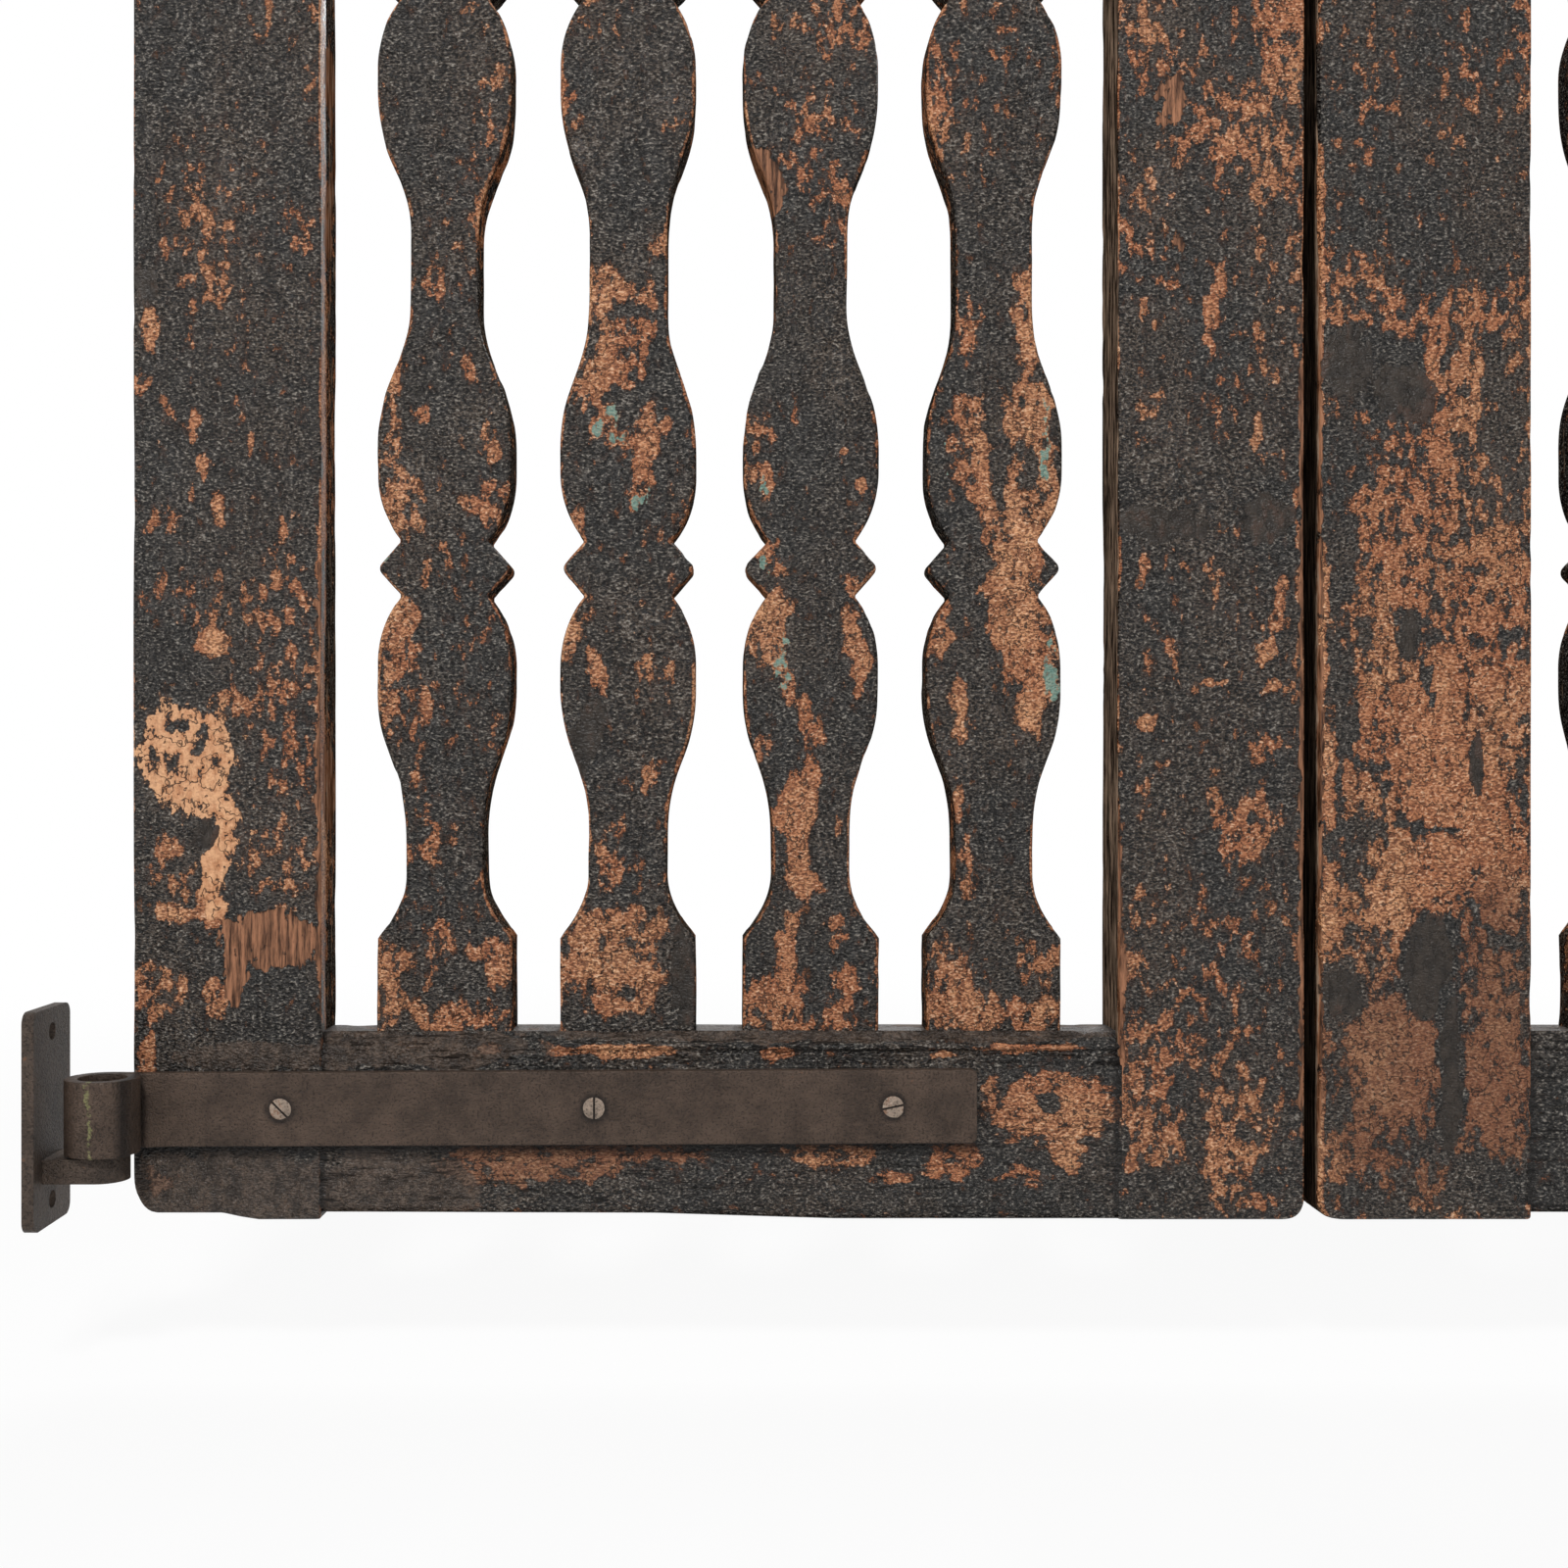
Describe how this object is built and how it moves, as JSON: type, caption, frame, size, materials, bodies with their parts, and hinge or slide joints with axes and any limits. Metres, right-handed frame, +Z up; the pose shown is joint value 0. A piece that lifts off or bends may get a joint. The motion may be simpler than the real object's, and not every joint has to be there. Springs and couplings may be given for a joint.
{
  "type": "double garden gate",
  "caption": "Pair of framed wooden garden gate leaves with flat shaped balusters, hung on strap hinges and plate pintles, that swing open to the front.",
  "frame": {"origin": "middle of the back face of the lower left pintle's plate, where it lies on the side face of a post or pier", "axes": "+X across the pair from the left pintles to the right ones, the front faces -Y, +Z up"},
  "size_m": [1.297, 0.0815, 0.975],
  "materials": {
    "painted_wood": "worn dark paint, wrinkled and flaking to salmon undercoat and bare wood",
    "strap_iron": "pitted, rusty, dark",
    "pintle_iron": "dark forged iron with light rust"
  },
  "bodies": {
    "pintles": {"left_lower_pintle_plate": "pintle_iron", "left_lower_pintle_pin": "pintle_iron", "left_upper_pintle_plate": "pintle_iron", "left_upper_pintle_pin": "pintle_iron", "right_lower_pintle_plate": "pintle_iron", "right_lower_pintle_pin": "pintle_iron", "right_upper_pintle_plate": "pintle_iron", "right_upper_pintle_pin": "pintle_iron"},
    "left_leaf": {"left_hinge_stile": "painted_wood", "left_meeting_stile": "painted_wood", "left_bottom_rail": "painted_wood", "left_top_rail": "painted_wood", "left_baluster_1": "painted_wood", "left_baluster_2": "painted_wood", "left_baluster_3": "painted_wood", "left_baluster_4": "painted_wood", "left_lower_strap": "strap_iron", "left_upper_strap": "strap_iron"},
    "right_leaf": {"right_hinge_stile": "painted_wood", "right_meeting_stile": "painted_wood", "right_bottom_rail": "painted_wood", "right_top_rail": "painted_wood", "right_baluster_1": "painted_wood", "right_baluster_2": "painted_wood", "right_baluster_3": "painted_wood", "right_baluster_4": "painted_wood", "right_lower_strap": "strap_iron", "right_upper_strap": "strap_iron"}
  },
  "joints": [
    {"name": "left_leaf_swing", "type": "hinge", "parent": "pintles", "child": "left_leaf", "pos_m": [0.031, 0, 0], "axis": [0, 0, -1], "range_deg": [0, 90]},
    {"name": "right_leaf_swing", "type": "hinge", "parent": "pintles", "child": "right_leaf", "pos_m": [1.266, 0, 0], "axis": [0, 0, 1], "range_deg": [0, 90]}
  ]
}
